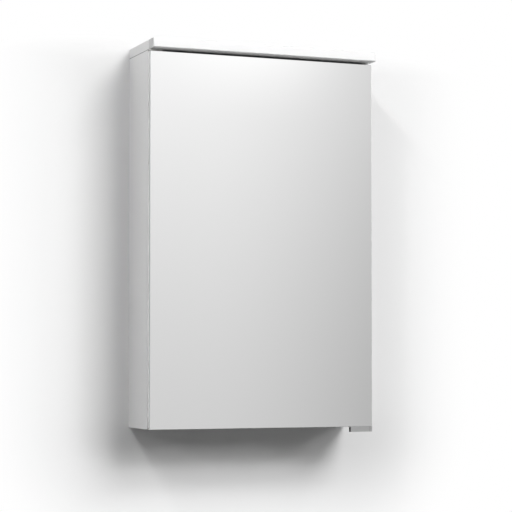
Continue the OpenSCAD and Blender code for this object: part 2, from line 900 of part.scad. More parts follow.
module switch_lead() {
    rise_top = box_mid_z - lead_bend_r;
    end_y = (rocker_axis_y + back_front_y) / 2;
    color("dimgray") {
        rod([box_x, -lead_y, driver_top], [0, 0, 0], lead_r, rise_top - driver_top);
        translate([box_x, -lead_y, rise_top])
            bend_forward(lead_bend_r);
        rod([box_x, -lead_y - lead_bend_r, box_mid_z], [90, 0, 0], lead_r, -lead_y - lead_bend_r - end_y);
    }
}

// The rocker rests with its lower half pressed in
module switch_rocker() {
    color("white")
        translate([box_x, rocker_axis_y, box_mid_z])
            rotate([rocker_tilt, 0, 0]) {
                along_x(rocker_w)
                    polygon([
                        [-rocker_root, -rocker_half_h + rocker_taper], [rocker_reach / 2, -rocker_half_h],
                        [rocker_reach, -rocker_half_h + rocker_edge], [rocker_reach - rocker_saddle, 0],
                        [rocker_reach, rocker_half_h - rocker_edge], [rocker_reach / 2, rocker_half_h],
                        [-rocker_root, rocker_half_h - rocker_taper],
                    ]);
                rod([-well_half_w - cheek_t, 0, 0], [0, 90, 0], rocker_pivot_r, 2 * (well_half_w + cheek_t));
            }
}

// Wall rail and hangers

rail_top = rail_leg_h / 2 + rail_hook_h - rail_t;
rail_l = 2 * (inner_half - rail_end_gap);
hanger_mid_x = inner_half - hanger_w / 2;

module wall_rail() {
    half = rail_leg_h / 2;
    color("silver")
        difference() {
            along_x(rail_l)
                polygon([
                    [0, -half], [rail_t, -half], [rail_t, half - rail_t], [rail_d, half - rail_t],
                    [rail_d, rail_top], [rail_d - rail_t, rail_top], [rail_d - rail_t, half], [0, half],
                ]);
            for (side = [-1, 1])
                rod([side * screw_pitch / 2, eps, 0], [90, 0, 0], screw_hole_r, rail_t + 2 * eps);
        }
}

module hanger(side) {
    difference() {
        union() {
            block([side * hanger_mid_x - hanger_w / 2, hanger_front_y, hanger_mid_z - hanger_h / 2],
                  [side * hanger_mid_x + hanger_w / 2, hanger_back_y, hanger_mid_z + hanger_h / 2]);
            for (s = [-1, 1])
                rod([side * (inner_half - eps), hanger_mid_y, hanger_mid_z + s * peg_pitch / 2],
                    [0, side * 90, 0], peg_r, peg_l);
        }
        for (s = [-1, 1])
            rod([side * hanger_mid_x, hanger_front_y - eps, hanger_mid_z + s * adjuster_pitch / 2],
                [-90, 0, 0], adjuster_r + screw_play, hanger_back_y - hanger_front_y + 2 * eps);
    }
}

module hanger_left() {
    color("silver")
        hanger(-1);
}

module hanger_right() {
    color("silver")
        hanger(1);
}

// The hooks that drop behind the rail's raised leg
module hanger_hooks() {
    over_z = rail_top + hook_play;
    lip_z = rail_top - 9;
    foot_z = -4;
    back = rail_d - rail_t - hook_play;
    front = rail_d + hook_play;
    color("darkgray")
        for (side = [-1, 1])
            translate([side * hanger_mid_x, 0, 0])
                along_x(hook_w)
                    polygon([
                        [back - hook_t, lip_z], [back, lip_z], [back, over_z], [front, over_z],
                        [front, foot_z], [front + hook_t, foot_z], [front + hook_t, over_z + hook_t],
                        [back - hook_t, over_z + hook_t],
                    ]);
}

module adjusting_screws() {
    sunk = 0.5;
    recess = [4.2, 0.8, 3];
    color("gray")
        for (side = [-1, 1], s = [-1, 1])
            translate([side * hanger_mid_x, hanger_front_y + sunk, hanger_mid_z + s * adjuster_pitch / 2])
                rotate([-90, 0, 0])
                    difference() {
                        cylinder(r = adjuster_r, h = hanger_back_y - hanger_front_y - sunk);
                        // Cross recess
                        for (a = [0, 90])
                            rotate([0, 0, a])
                                cube(recess, center = true);
                    }
}

// Plugs in the access holes
module access_caps() {
    rim = 1.2;
    head_t = 1;
    color("white")
        for (side = [-1, 1], s = [-1, 1])
            translate([side * hanger_mid_x, back_front_y, hanger_mid_z + s * adjuster_pitch / 2])
                rotate([90, 0, 0]) {
                    cylinder(r = access_r + rim, h = head_t);
                    translate([0, 0, -back_t])
                        cylinder(r = access_r, h = back_t + eps);
                }
}

// Door pivots

top_leg_x = -inner_half + top_leg_gap + top_leg_w / 2;
top_plate_screw_ys = [axis_y + top_leg_l * 0.4, axis_y + top_leg_l * 0.82];
bottom_plate_screw_ys = [front_y + bottom_plate_l * 0.2, front_y + bottom_plate_l * 0.75];
bottom_plate_screw_l = 18;
bush_end_gap = 1;

// An arm from the axis to the cabinet's inside, and a leg from there back under the top board
module top_plate_shape() {
    translate([axis_x, axis_y]) {
        circle(r = plate_w / 2);
        translate([0, -plate_w / 2])
            square([top_leg_x + top_leg_w / 2 - axis_x, plate_w]);
    }
    translate([top_leg_x - top_leg_w / 2, axis_y])
        square([top_leg_w, top_leg_l]);
}

module bottom_plate_shape(play) {
    translate([axis_x, axis_y]) {
        circle(r = plate_w / 2 + play);
        translate([-plate_w / 2 - play, 0])
            square([plate_w + 2 * play, bottom_plate_l + front_y - axis_y + play]);
    }
}

// Room for the bottom pivot plate under the side panel, with its screws' pilot holes
module bottom_plate_recess() {
    translate([0, 0, z_bottom - eps])
        linear_extrude(height = plate_t + eps)
            bottom_plate_shape(plate_play);
    for (y = bottom_plate_screw_ys)
        translate([axis_x, y, z_bottom])
            rotate([180, 0, 0])
                screw_hole_down(bottom_plate_screw_l);
}

module pivot_plate_top() {
    color("silver")
        difference() {
            translate([0, 0, z_hood - plate_t])
                linear_extrude(height = plate_t)
                    top_plate_shape();
            rod([axis_x, axis_y, z_hood - plate_t - eps], [0, 0, 0], pin_r + screw_play, plate_t + 2 * eps);
            for (y = top_plate_screw_ys)
                translate([top_leg_x, y, z_hood - plate_t])
                    rotate([180, 0, 0])
                        screw_hole_down(top_plate_screw_l);
        }
}

module pivot_plate_bottom() {
    color("silver")
        difference() {
            translate([0, 0, z_bottom])
                linear_extrude(height = plate_t)
                    bottom_plate_shape(0);
            rod([axis_x, axis_y, z_bottom - eps], [0, 0, 0], pin_r + screw_play, plate_t + 2 * eps);
            for (y = bottom_plate_screw_ys)
                translate([axis_x, y, z_bottom])
                    rotate([180, 0, 0])
                        screw_hole_down(bottom_plate_screw_l);
        }
}

module pivot_pins() {
    pin_reach = bush_l - bush_end_gap;
    color("gray") {
        rod([axis_x, axis_y, z_bottom], [0, 0, 0], pin_r, notch_h + pin_reach);
        rod([axis_x, axis_y, z_door_top - pin_reach], [0, 0, 0], pin_r, door_top_gap + pin_reach);
    }
}

module pivot_plate_screws() {
    color("silver") {
        for (y = top_plate_screw_ys)
            translate([top_leg_x, y, z_hood - plate_t])
                rotate([180, 0, 0])
                    screw_down(top_plate_screw_l);
        for (y = bottom_plate_screw_ys)
            translate([axis_x, y, z_bottom])
                rotate([180, 0, 0])
                    screw_down(bottom_plate_screw_l);
    }
}

// A bush with its flange at z = 0 and its sleeve pointing up
module bush() {
    difference() {
        union() {
            cylinder(r = bush_r, h = bush_flange_t + bush_l);
            cylinder(r = bush_r + bush_flange_w, h = bush_flange_t);
        }
        translate([0, 0, -eps])
            cylinder(r = pin_r + pin_clearance, h = bush_flange_t + bush_l + 2 * eps);
    }
}

module pivot_bushes() {
    color("dimgray") {
        translate([axis_x, axis_y, z_bottom + notch_h - bush_flange_t])
            bush();
        translate([axis_x, axis_y, z_door_top + bush_flange_t])
            rotate([180, 0, 0])
                bush();
    }
}

// Catch

catch_mid_z = z_bottom + catch_h;
catch_inset = 1;
catch_wall = 1.5;
catch_front = front_y + catch_inset;
catch_mid_y = catch_front + catch_d * 0.6;
catch_screw_inset = 5;
catch_screw_pitch = catch_l - 2 * catch_screw_inset;
catch_screw_depth = 8;
magnet_l = 20;
magnet_d = 12;
magnet_front = door_back_y + catch_gap;

module catch_housing() {
    half_slot = magnet_l / 2 + slide_play;
    color("white")
        translate([inner_half, 0, catch_mid_z])
            difference() {
                block([-catch_w, catch_front, -catch_l / 2], [0, catch_front + catch_d, catch_l / 2]);
                block([-catch_w + catch_wall, catch_front - eps, -half_slot],
                      [-catch_wall, catch_front + magnet_d + slide_play, half_slot]);
                for (s = [-1, 1])
                    rod([-catch_w - eps, catch_mid_y, s * catch_screw_pitch / 2], [0, 90, 0],
                        screw_r + screw_play, catch_w + 2 * eps);
            }
}

module catch_magnet() {
    wall = catch_wall + slide_play;
    color("dimgray")
        block([inner_half - catch_w + wall, magnet_front, catch_mid_z - magnet_l / 2],
              [inner_half - wall, catch_front + magnet_d, catch_mid_z + magnet_l / 2]);
}

module catch_screws() {
    color("silver")
        for (s = [-1, 1])
            translate([inner_half - catch_w, catch_mid_y, catch_mid_z + s * catch_screw_pitch / 2])
                rotate([0, 90, 0]) {
                    translate([0, 0, -pan_head_h])
                        cylinder(r = screw_head_r, h = pan_head_h);
                    cylinder(r = screw_r, h = catch_w + catch_screw_depth - 1);
                }
}

strike_screw_l = 5;

// The strike plate lies opposite the catch, flush in the door's back
module strike_shape(play, proud) {
    block([inner_half - catch_w - play, door_back_y - strike_t, catch_mid_z - catch_l / 2 - play],
          [inner_half + play, door_back_y + proud, catch_mid_z + catch_l / 2 + play]);
}

module strike_screw_places() {
    for (s = [-1, 1])
        translate([inner_half - catch_w / 2, door_back_y, catch_mid_z + s * catch_screw_pitch / 2])
            rotate([-90, 0, 0])
                children();
}

module strike_plate() {
    color("silver")
        difference() {
            strike_shape(0, 0);
            strike_screw_places()
                screw_hole_down(strike_screw_l);
        }
}

module strike_screws() {
    color("silver")
        strike_screw_places()
            screw_down(strike_screw_l);
}

// Door

module panel_shape() {
    difference() {
        translate([-half_w, panel_front_y])
            square([cab_w, panel_t]);
        // The hinge edge is a quarter round about the pivot axis
        difference() {
            translate([-half_w - eps, axis_y])
                square([pivot_inset + eps, pivot_inset + eps]);
            translate([axis_x, axis_y])
                circle(r = pivot_inset);
        }
    }
}

module door_panel() {
    pocket_half = inner_half - inner_margin + inner_play;
    color("white")
        difference() {
            translate([0, 0, z_bottom])
                linear_extrude(height = door_h)
                    panel_shape();
            // Pocket for the inner mirror
            block([-pocket_half, door_back_y - inner_t, z_bottom + inner_margin - inner_play],
                  [pocket_half, door_back_y + eps, z_door_top - inner_margin + inner_play]);
            // Notch that the bottom pivot plate turns in
            block([-half_w - eps, panel_front_y - eps, z_bottom - eps],
                  [axis_x + plate_w / 2 + notch_play, door_back_y + eps, z_bottom + notch_h]);
            // Bush holes
            rod([axis_x, axis_y, z_bottom], [0, 0, 0], bush_r + dowel_play, notch_h + bush_l + bush_end_gap);
            rod([axis_x, axis_y, z_door_top - bush_l - bush_end_gap], [0, 0, 0], bush_r + dowel_play,
                bush_l + bush_end_gap + eps);
            strike_shape(slide_play, eps);
            strike_screw_places()
                screw_hole_down(strike_screw_l);
            for (x = grip_screw_xs)
                translate([x, grip_screw_y, z_bottom - grip_t])
                    rotate([180, 0, 0])
                        screw_hole_down(grip_screw_l);
        }
}

module mirror_front() {
    color("lightsteelblue")
        difference() {
            block([-half_w, door_front_y, z_bottom], [half_w, panel_front_y, z_door_top]);
            // Arris on the upright edges
            for (side = [-1, 1])
                translate([side * half_w, door_front_y, z_bottom - eps])
                    rotate([0, 0, 45])
                        translate([-arris / 2, -arris / 2, 0])
                            cube([arris, arris, door_h + 2 * eps]);
            // Arris on the level edges
            for (z = [z_bottom, z_door_top])
                translate([-half_w - eps, door_front_y, z])
                    rotate([45, 0, 0])
                        translate([0, -arris / 2, -arris / 2])
                            cube([cab_w + 2 * eps, arris, arris]);
        }
}

module mirror_inner() {
    color("lightsteelblue")
        block([-inner_half + inner_margin, door_back_y - inner_t, z_bottom + inner_margin],
              [inner_half - inner_margin, door_back_y, z_door_top - inner_margin]);
}

grip_back_l = grip_w - 2 * grip_cap_t;
grip_screw_xs = [half_w - grip_w * 0.75, half_w - grip_w * 0.25];
grip_screw_y = door_back_y - panel_t / 2;
grip_screw_l = 16;
grip_bead_r = 0.8;

// Section of the grip's face and flange, as [distance behind the door's front, height over its underside]
module grip_section() {
    depth = mirror_t + panel_t;
    translate([0, -grip_h])
        square([grip_t, grip_h]);
    translate([0, -grip_t])
        square([depth, grip_t]);
}

// Bead along the lower edge, for the fingertips
module grip_bead() {
    translate([grip_t, -grip_h + grip_bead_r])
        circle(r = grip_bead_r, $fn = 24);
}

module door_grip() {
    color("lightgray")
        difference() {
            translate([half_w - grip_w / 2, door_front_y, z_bottom])
                mirror([0, 1, 0]) {
                    along_x(grip_w)
                        grip_section();
                    along_x(grip_back_l)
                        grip_bead();
                }
            for (x = grip_screw_xs)
                translate([x, grip_screw_y, z_bottom - grip_t])
                    rotate([180, 0, 0])
                        screw_hole_down(grip_screw_l);
        }
}

// Each cap closes one end of the grip, in the corner behind its face
module grip_end_caps() {
    color("black")
        for (x = [half_w - grip_w, half_w - grip_cap_t])
            block([x, door_front_y + grip_t, z_bottom - grip_h],
                  [x + grip_cap_t, door_front_y + grip_d, z_bottom - grip_t]);
}

module grip_screws() {
    color("silver")
        for (x = grip_screw_xs)
            translate([x, grip_screw_y, z_bottom - grip_t])
                rotate([180, 0, 0])
                    screw_down(grip_screw_l);
}

module door_bumpers() {
    inset = 20;
    color("gainsboro")
        for (z = [z_bottom + inset, z_door_top - inset])
            rod([half_w - side_t / 2, door_back_y, z], [-90, 0, 0], bumper_r, door_gap - bumper_gap);
}

side_panel_left();
side_panel_right();
top_board();
bottom_panel();
back_panel();
carcass_dowels();
glass_shelf_lower();
glass_shelf_middle();
glass_shelf_upper();
shelf_pins();
light_profile();
end_cap_left();
end_cap_right();
led_board();
led_chips();
light_diffuser();
profile_screws();
strip_lead();
led_driver();
driver_screws();
driver_lead();
terminal_box();
terminal_lid();
terminal_block();
cable_gland();
switch_box();
switch_lead();
switch_rocker();
wall_rail();
hanger_left();
hanger_right();
hanger_hooks();
adjusting_screws();
access_caps();
pivot_plate_top();
pivot_plate_bottom();
pivot_pins();
pivot_plate_screws();
pivot_bushes();
catch_housing();
catch_magnet();
catch_screws();
strike_plate();
strike_screws();
door_panel();
mirror_front();
mirror_inner();
door_grip();
grip_end_caps();
grip_screws();
door_bumpers();
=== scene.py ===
import json
from math import pi, radians

import bmesh
import bpy
from mathutils import Matrix, Vector


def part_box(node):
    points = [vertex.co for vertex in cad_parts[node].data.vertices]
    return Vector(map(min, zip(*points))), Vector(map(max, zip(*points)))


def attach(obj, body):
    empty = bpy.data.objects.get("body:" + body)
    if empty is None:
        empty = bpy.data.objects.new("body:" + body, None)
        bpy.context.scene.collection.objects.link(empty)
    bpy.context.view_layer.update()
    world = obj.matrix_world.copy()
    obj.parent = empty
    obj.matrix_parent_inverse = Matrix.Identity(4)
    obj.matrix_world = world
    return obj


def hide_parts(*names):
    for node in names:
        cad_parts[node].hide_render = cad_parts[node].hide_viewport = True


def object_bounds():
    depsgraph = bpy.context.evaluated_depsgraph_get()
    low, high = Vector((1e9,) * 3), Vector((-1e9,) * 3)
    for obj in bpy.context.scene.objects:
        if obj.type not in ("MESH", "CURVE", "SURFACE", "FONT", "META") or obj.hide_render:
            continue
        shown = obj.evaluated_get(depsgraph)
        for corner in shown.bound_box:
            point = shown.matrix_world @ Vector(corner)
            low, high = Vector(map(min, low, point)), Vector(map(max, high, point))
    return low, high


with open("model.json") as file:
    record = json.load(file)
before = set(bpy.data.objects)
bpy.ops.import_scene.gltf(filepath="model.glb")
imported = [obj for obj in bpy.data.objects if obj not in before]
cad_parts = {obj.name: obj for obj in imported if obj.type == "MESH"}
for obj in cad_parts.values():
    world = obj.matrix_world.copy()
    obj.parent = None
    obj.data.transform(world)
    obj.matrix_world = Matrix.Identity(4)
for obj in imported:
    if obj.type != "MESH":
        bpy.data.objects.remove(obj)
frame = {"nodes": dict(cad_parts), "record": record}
cad_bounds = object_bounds()
MM = 0.001

# Places that several pieces share, from the frame
cabinet_low, cabinet_high = cad_bounds
wall_y = cabinet_high.y
board_low, board_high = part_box("top_board")
side_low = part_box("side_panel_left")[0]


# Shader maths


class Wire:
    """An output socket that Python's operators work on. Each operation adds one Math node."""

    def __init__(self, shader, socket):
        self.shader = shader
        self.socket = socket

    def maths(self, operation, *others, flip=False, clamp=False):
        """One Math node on this value and others. Flip puts the others first."""
        terms = [self, *others]
        if flip:
            terms.reverse()
        settings = {"operation": operation, "use_clamp": clamp}
        return self.shader.node("ShaderNodeMath", settings, dict(enumerate(terms)))

    def __add__(self, other):
        return self.maths("ADD", other)

    def __sub__(self, other):
        return self.maths("SUBTRACT", other)

    def __mul__(self, other):
        return self.maths("MULTIPLY", other)

    def __pow__(self, other):
        return self.maths("POWER", other)

    def __gt__(self, other):
        return self.maths("GREATER_THAN", other)

    def __lt__(self, other):
        return self.maths("LESS_THAN", other)

    def __rsub__(self, other):
        return self.maths("SUBTRACT", other, flip=True)

    def __abs__(self):
        return self.maths("ABSOLUTE")

    __radd__ = __add__
    __rmul__ = __mul__

    def clamped(self):
        """The same value, held between 0 and 1."""
        return self.maths("ADD", 0.0, clamp=True)

    def at_most(self, limit):
        return self.maths("MINIMUM", limit)

    def within(self, low, high):
        """1 between two values, 0 outside them."""
        return (self > low) * (self < high)

    def ramp(self, start, end):
        """A smooth rise from 0 at start to 1 at end."""
        settings = {"interpolation_type": "SMOOTHSTEP"}
        values = {"Value": self, "From Min": start, "From Max": end}
        return self.shader.node("ShaderNodeMapRange", settings, values)

    def near(self, place, reach):
        """1 within reach of a place, 0 further off."""
        return abs(self - place) < reach


class Shader:
    """One node tree, for a material or the world."""

    def __init__(self, owner):
        owner.use_nodes = True
        self.tree = owner.node_tree
        self.tree.nodes.clear()

    def node(self, kind, settings, inputs, output=0):
        """Adds a node: its settings first, then the values or wires of its sockets. Returns one of
        its outputs, or the node itself if output is None."""
        made = self.tree.nodes.new(kind)
        for name, value in settings.items():
            setattr(made, name, value)
        for name, value in inputs.items():
            if isinstance(value, Wire):
                self.tree.links.new(value.socket, made.inputs[name])
            else:
                made.inputs[name].default_value = value
        if output is None:
            return made
        return Wire(self, made.outputs[output])

    def split(self, vector):
        """The three parts of a vector."""
        made = self.node("ShaderNodeSeparateXYZ", {}, {0: vector}, output=None)
        return [Wire(self, socket) for socket in made.outputs]

    def place(self):
        """The three coordinates of the point being shaded, in metres."""
        return self.split(self.coordinates())

    def rays(self, *kinds):
        """For each kind of ray, 1 where such a ray arrives and 0 elsewhere."""
        paths = self.node("ShaderNodeLightPath", {}, {}, output=None)
        return [Wire(self, paths.outputs[f"Is {kind} Ray"]) for kind in kinds]

    def coordinates(self, stretch=(1, 1, 1)):
        """Object coordinates, stretched along each axis."""
        point = self.node("ShaderNodeTexCoord", {}, {}, output="Object")
        if stretch == (1, 1, 1):
            return point
        return self.node("ShaderNodeMapping", {}, {"Vector": point, "Scale": stretch})

    def noise(self, size, detail=3.0, roughness=0.5, stretch=(1, 1, 1)):
        """Noise from 0 to 1 whose features are about size metres across."""
        values = {"Vector": self.coordinates(stretch), "Scale": 1 / size, "Detail": detail}
        return self.node("ShaderNodeTexNoise", {}, {**values, "Roughness": roughness})

    def blend(self, factor, first, second):
        """One colour that goes from first to second."""
        values = {0: factor, 6: first, 7: second}
        return self.node("ShaderNodeMix", {"data_type": "RGBA"}, values, output=2)

    def bump(self, height, depth, strength=1.0):
        """A normal for a surface whose height runs from 0 to depth metres."""
        values = {"Height": height, "Distance": depth, "Strength": strength}
        return self.node("ShaderNodeBump", {}, values)

    def surface(self, shader):
        self.node("ShaderNodeOutputMaterial", {}, {"Surface": shader}, output=None)

    def principled(self, **inputs):
        """A Principled surface. Names of sockets are given with underscores for spaces."""
        values = {name.replace("_", " "): value for name, value in inputs.items()}
        return self.node("ShaderNodeBsdfPrincipled", {}, values)


def grey(level, tint=(1.0, 1.0, 1.0)):
    """A linear colour of one level with a slight tint."""
    return (level * tint[0], level * tint[1], level * tint[2], 1.0)


MATERIALS = {}


def material(make):
    """Registers a function that builds one material, under the function's name."""

    def build():
        if make.__name__ not in MATERIALS:
            made = bpy.data.materials.new(make.__name__)
            make(Shader(made))
            MATERIALS[make.__name__] = made
        return MATERIALS[make.__name__]

    return build


# Materials

# Thickness of the front edge band, and of what counts as its front
EDGE_BAND = 0.8 * MM
BAND_SKIN = 0.1 * MM
# Half widths of the glue line behind the band and of the painted shade along the joint under the
# top board
GLUE_LINE = 0.07 * MM
JOINT_SHADE = 0.6 * MM
OUTER_SKIN = 1.2 * MM
# How pale each place of the white board is
BOARD_DULL = 0.855
BOARD_CLEAN = 0.875
BOARD_OUTSIDE = 0.865
# Painted highlight: the door's outer edges are paler, standing in for light caught by their rounded
# edge
DOOR_EDGE_HIGHLIGHT = 0.93
# Painted light: the boards' front faces are paler, lifting the shade in the gap behind the door
BAND_FRONT_PAINTED_LIGHT = 0.94
GLUE_LEVEL = 0.62
# Painted shade in the joint under the top board
JOINT_SHADE_LEVEL = 0.30


def melamine(s, front_y, reach=cabinet_high.x, outer_level=BOARD_OUTSIDE):
    """White melamine on particle board: a fine pearl, faint handling marks, a front edge band
    painted paler as painted light against the shade in the door's gap, and the glue line behind it.
    The joint between the side panels and the top board is darkened as painted shade.
    Reach is how far out the outer faces lie, and outer_level is how pale they are; on the door it
    is raised as a painted highlight."""
    x, y, z = s.place()
    pearl = s.noise(0.9 * MM, detail=2.0)
    cloud = s.noise(60 * MM, detail=4.0)
    marks = s.noise(9 * MM, detail=5.0, roughness=0.7)
    outside = abs(x) > reach - OUTER_SKIN
    inner = s.blend(cloud.ramp(0.3, 0.7), grey(BOARD_DULL), grey(BOARD_CLEAN, (1.0, 1.0, 0.995)))
    face = s.blend(outside, inner, grey(outer_level))
    # Painted light on the front faces, against the shade in the door's gap
    front_painted_light = s.blend(y < front_y + BAND_SKIN, face, grey(BAND_FRONT_PAINTED_LIGHT))
    banded = s.blend(y.near(front_y + EDGE_BAND, GLUE_LINE), front_painted_light, grey(GLUE_LEVEL))
    # Painted shade: the outer faces are darkened along the joint under the top board
    painted_joint_shade = z.near(board_low.z, JOINT_SHADE) * outside
    s.surface(s.principled(
        Base_Color=s.blend(painted_joint_shade, banded, grey(JOINT_SHADE_LEVEL)),
        Roughness=0.34 + 0.10 * marks + 0.04 * pearl,
        Normal=s.bump(pearl, 0.02 * MM, 0.5),
        Specular_IOR_Level=0.45,
    ))


@material
def side_melamine(s):
    melamine(s, side_low.y)


@material
def top_melamine(s):
    melamine(s, board_low.y)


@material
def floor_melamine(s):
    melamine(s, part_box("bottom_panel")[0].y)


@material
def door_melamine(s):
    low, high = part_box("door_panel")
    # The door's outer faces are painted paler, a painted highlight on its edges
    melamine(s, low.y, high.x, DOOR_EDGE_HIGHLIGHT)


SHELF_SKIN = 0.8 * MM
MIRROR_SKIN = 0.35 * MM


@material
def glass_shelf(s):
    """Clear glass whose long and short edges show green."""
    x, y, z = s.place()
    low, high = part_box("glass_shelf_lower")
    across = x.within(low.x + SHELF_SKIN, high.x - SHELF_SKIN)
    along = y.within(low.y + SHELF_SKIN, high.y - SHELF_SKIN)
    edge = 1 - across * along
    colour = s.blend(edge, (0.955, 0.985, 0.972, 1.0), (0.42, 0.70, 0.60, 1.0))
    dust = s.noise(5 * MM, detail=6.0, roughness=0.7)
    s.surface(s.principled(
        Base_Color=colour,
        Roughness=0.02 + 0.05 * edge + 0.02 * dust.ramp(0.55, 0.8),
        IOR=1.5,
        Transmission_Weight=1.0,
    ))


def mirror_surface(s, node, level):
    """Silvered glass. Its edges show the glass itself, and a fine film dulls it a little."""
    x, y, z = s.place()
    low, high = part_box(node)
    across = x.within(low.x + MIRROR_SKIN, high.x - MIRROR_SKIN)
    upwards = z.within(low.z + MIRROR_SKIN, high.z - MIRROR_SKIN)
    inside = across * upwards
    film = s.noise(35 * MM, detail=5.0, roughness=0.65)
    ripple = s.noise(90 * MM, detail=1.0)
    s.surface(s.principled(
        Base_Color=s.blend(inside, (0.64, 0.67, 0.66, 1.0), grey(level)),
        Metallic=0.1 + 0.9 * inside,
        Roughness=0.25 - 0.22 * inside + 0.025 * film.ramp(0.45, 0.8),
        Normal=s.bump(ripple, 0.01 * MM, 0.2),
    ))


@material
def front_mirror(s):
    mirror_surface(s, "mirror_front", 0.96)


@material
def inner_mirror(s):
    mirror_surface(s, "mirror_inner", 0.94)


@material
def powder_coat(s):
    """White powder coat with orange peel."""
    peel = s.noise(1.4 * MM, detail=1.0)
    cloud = s.noise(40 * MM, detail=3.0)
    s.surface(s.principled(
        Base_Color=s.blend(cloud, grey(0.915), grey(0.935)),
        Roughness=0.32 + 0.08 * cloud,
        Normal=s.bump(peel, 0.03 * MM, 0.5),
    ))


# Sizes of the grain of a spark-eroded mould and of the marks that the flow of the plastic leaves
MOULD_GRAIN = 0.5 * MM
MOULD_FLOW = 18 * MM


def mould_marks(s):
    """Grain and flow of moulded plastic, each as noise from 0 to 1."""
    return s.noise(MOULD_GRAIN, detail=2.0), s.noise(MOULD_FLOW, detail=3.0)


def moulded(s, level, roughness, tint=(1.0, 1.0, 1.0), gloss=0.5):
    """Moulded plastic of one colour."""
    grain, flow = mould_marks(s)
    s.surface(s.principled(
        Base_Color=s.blend(flow, grey(level, tint), grey(level * 1.06, tint)),
        Roughness=roughness + 0.08 * flow,
        Normal=s.bump(grain, 0.02 * MM, 0.5),
        Specular_IOR_Level=gloss,
    ))


CAP_RIM = 0.4 * MM


@material
def cap_moulding(s):
    """The profile's grey end caps. Their front rim is coloured a pale white, close to the
    profile's.
    """
    x, y, z = s.place()
    grain, flow = mould_marks(s)
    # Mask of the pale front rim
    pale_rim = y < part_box("end_cap_left")[0].y + CAP_RIM
    plain = s.blend(flow, grey(0.63), grey(0.66))
    s.surface(s.principled(
        Base_Color=s.blend(pale_rim, plain, grey(0.87)),
        Roughness=0.38 + 0.08 * flow,
        Normal=s.bump(grain, 0.02 * MM, 0.5),
    ))


@material
def grey_moulding(s):
    moulded(s, 0.42, 0.42)


@material
def dark_moulding(s):
    moulded(s, 0.004, 0.65, gloss=0.02)


@material
def white_moulding(s):
    moulded(s, 0.80, 0.30, (1.0, 1.0, 0.985))


@material
def bush_moulding(s):
    moulded(s, 0.10, 0.40)


@material
def opal_diffuser(s):
    """Opal plastic, with the faint lines that extruding leaves along it."""
    lines = s.noise(0.6 * MM, detail=2.0, stretch=(0.01, 1, 1))
    s.surface(s.principled(
        Base_Color=grey(0.93),
        Roughness=0.34 + 0.1 * lines,
        Normal=s.bump(lines, 0.02 * MM, 0.3),
        Subsurface_Weight=0.25,
        Subsurface_Scale=0.002,
        Subsurface_Radius=(1.0, 1.0, 1.0),
    ))


# Distances of a copper land's edges from the middle of the circuit board
LAND_INNER = 3.2 * MM
LAND_OUTER = 5.2 * MM


@material
def solder_mask(s):
    """The strip's white circuit board, with copper lands under the chips."""
    x, y, z = s.place()
    low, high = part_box("led_board")
    middle = (low.y + high.y) / 2
    land = abs(y - middle).within(LAND_INNER, LAND_OUTER)
    s.surface(s.principled(
        Base_Color=s.blend(land * 0.35, grey(0.80), (0.72, 0.62, 0.42, 1.0)),
        Roughness=0.30,
        Normal=s.bump(land, 0.04 * MM, 0.6),
    ))


@material
def chip_case(s):
    moulded(s, 0.80, 0.35)


@material
def phosphor(s):
    """The yellow window of a light chip."""
    grain = s.noise(0.3 * MM)
    s.surface(s.principled(
        Base_Color=s.blend(grain, (0.86, 0.72, 0.24, 1.0), (0.93, 0.82, 0.36, 1.0)),
        Roughness=0.35,
    ))


# Width of the lines that brushing leaves in metal, and how much they are drawn out along it
BRUSH_WIDTH = 0.35 * MM
BRUSH_DRAW = 0.02


def brushed(s, lines, colour, roughness):
    """Metal with fine lines."""
    s.surface(s.principled(
        Base_Color=colour,
        Metallic=1.0,
        Roughness=roughness + 0.12 * lines,
        Normal=s.bump(lines, 0.01 * MM, 0.4),
    ))


@material
def nickel_plate(s):
    """Bright plate on small steel parts, a little yellow."""
    tint = (1.0, 0.99, 0.97)
    lines = s.noise(BRUSH_WIDTH, detail=3.0, stretch=(1, 1, BRUSH_DRAW))
    brushed(s, lines, s.blend(lines, grey(0.62, tint), grey(0.66, tint)), 0.26)


# Length of the grip's end and half the width of the line where it begins
GRIP_END = 4.5 * MM
GRIP_LINE = 0.35 * MM


@material
def satin_anodise(s):
    """The grip's face, with a faint line where its turned end begins."""
    x, y, z = s.place()
    end_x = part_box("door_grip")[1].x - GRIP_END
    lines = s.noise(BRUSH_WIDTH, detail=3.0, stretch=(BRUSH_DRAW, 1, 1))
    plain = s.blend(lines, grey(0.575), grey(0.61))
    ended = s.blend(x > end_x, plain, grey(0.56))
    brushed(s, lines, s.blend(x.near(end_x, GRIP_LINE), ended, grey(0.42)), 0.34)


ZINC_CRYSTAL = 7 * MM


@material
def zinc_coat(s):
    """Galvanised steel with its broad crystal pattern."""
    values = {"Vector": s.coordinates(), "Scale": 1 / ZINC_CRYSTAL}
    spangle = s.node("ShaderNodeTexVoronoi", {"feature": "F1"}, values, output="Color")
    tone = s.node("ShaderNodeSeparateColor", {}, {0: spangle})
    s.surface(s.principled(
        Base_Color=s.blend(tone, (0.48, 0.49, 0.51, 1.0), (0.62, 0.63, 0.64, 1.0)),
        Metallic=1.0,
        Roughness=0.34 + 0.16 * tone,
    ))


@material
def ferrite(s):
    """The catch's black magnet, slightly grainy."""
    grain = s.noise(0.4 * MM)
    s.surface(s.principled(
        Base_Color=s.blend(grain, grey(0.035), grey(0.06)),
        Roughness=0.45 + 0.2 * grain,
        Metallic=0.3,
        Normal=s.bump(grain, 0.03 * MM, 0.5),
    ))


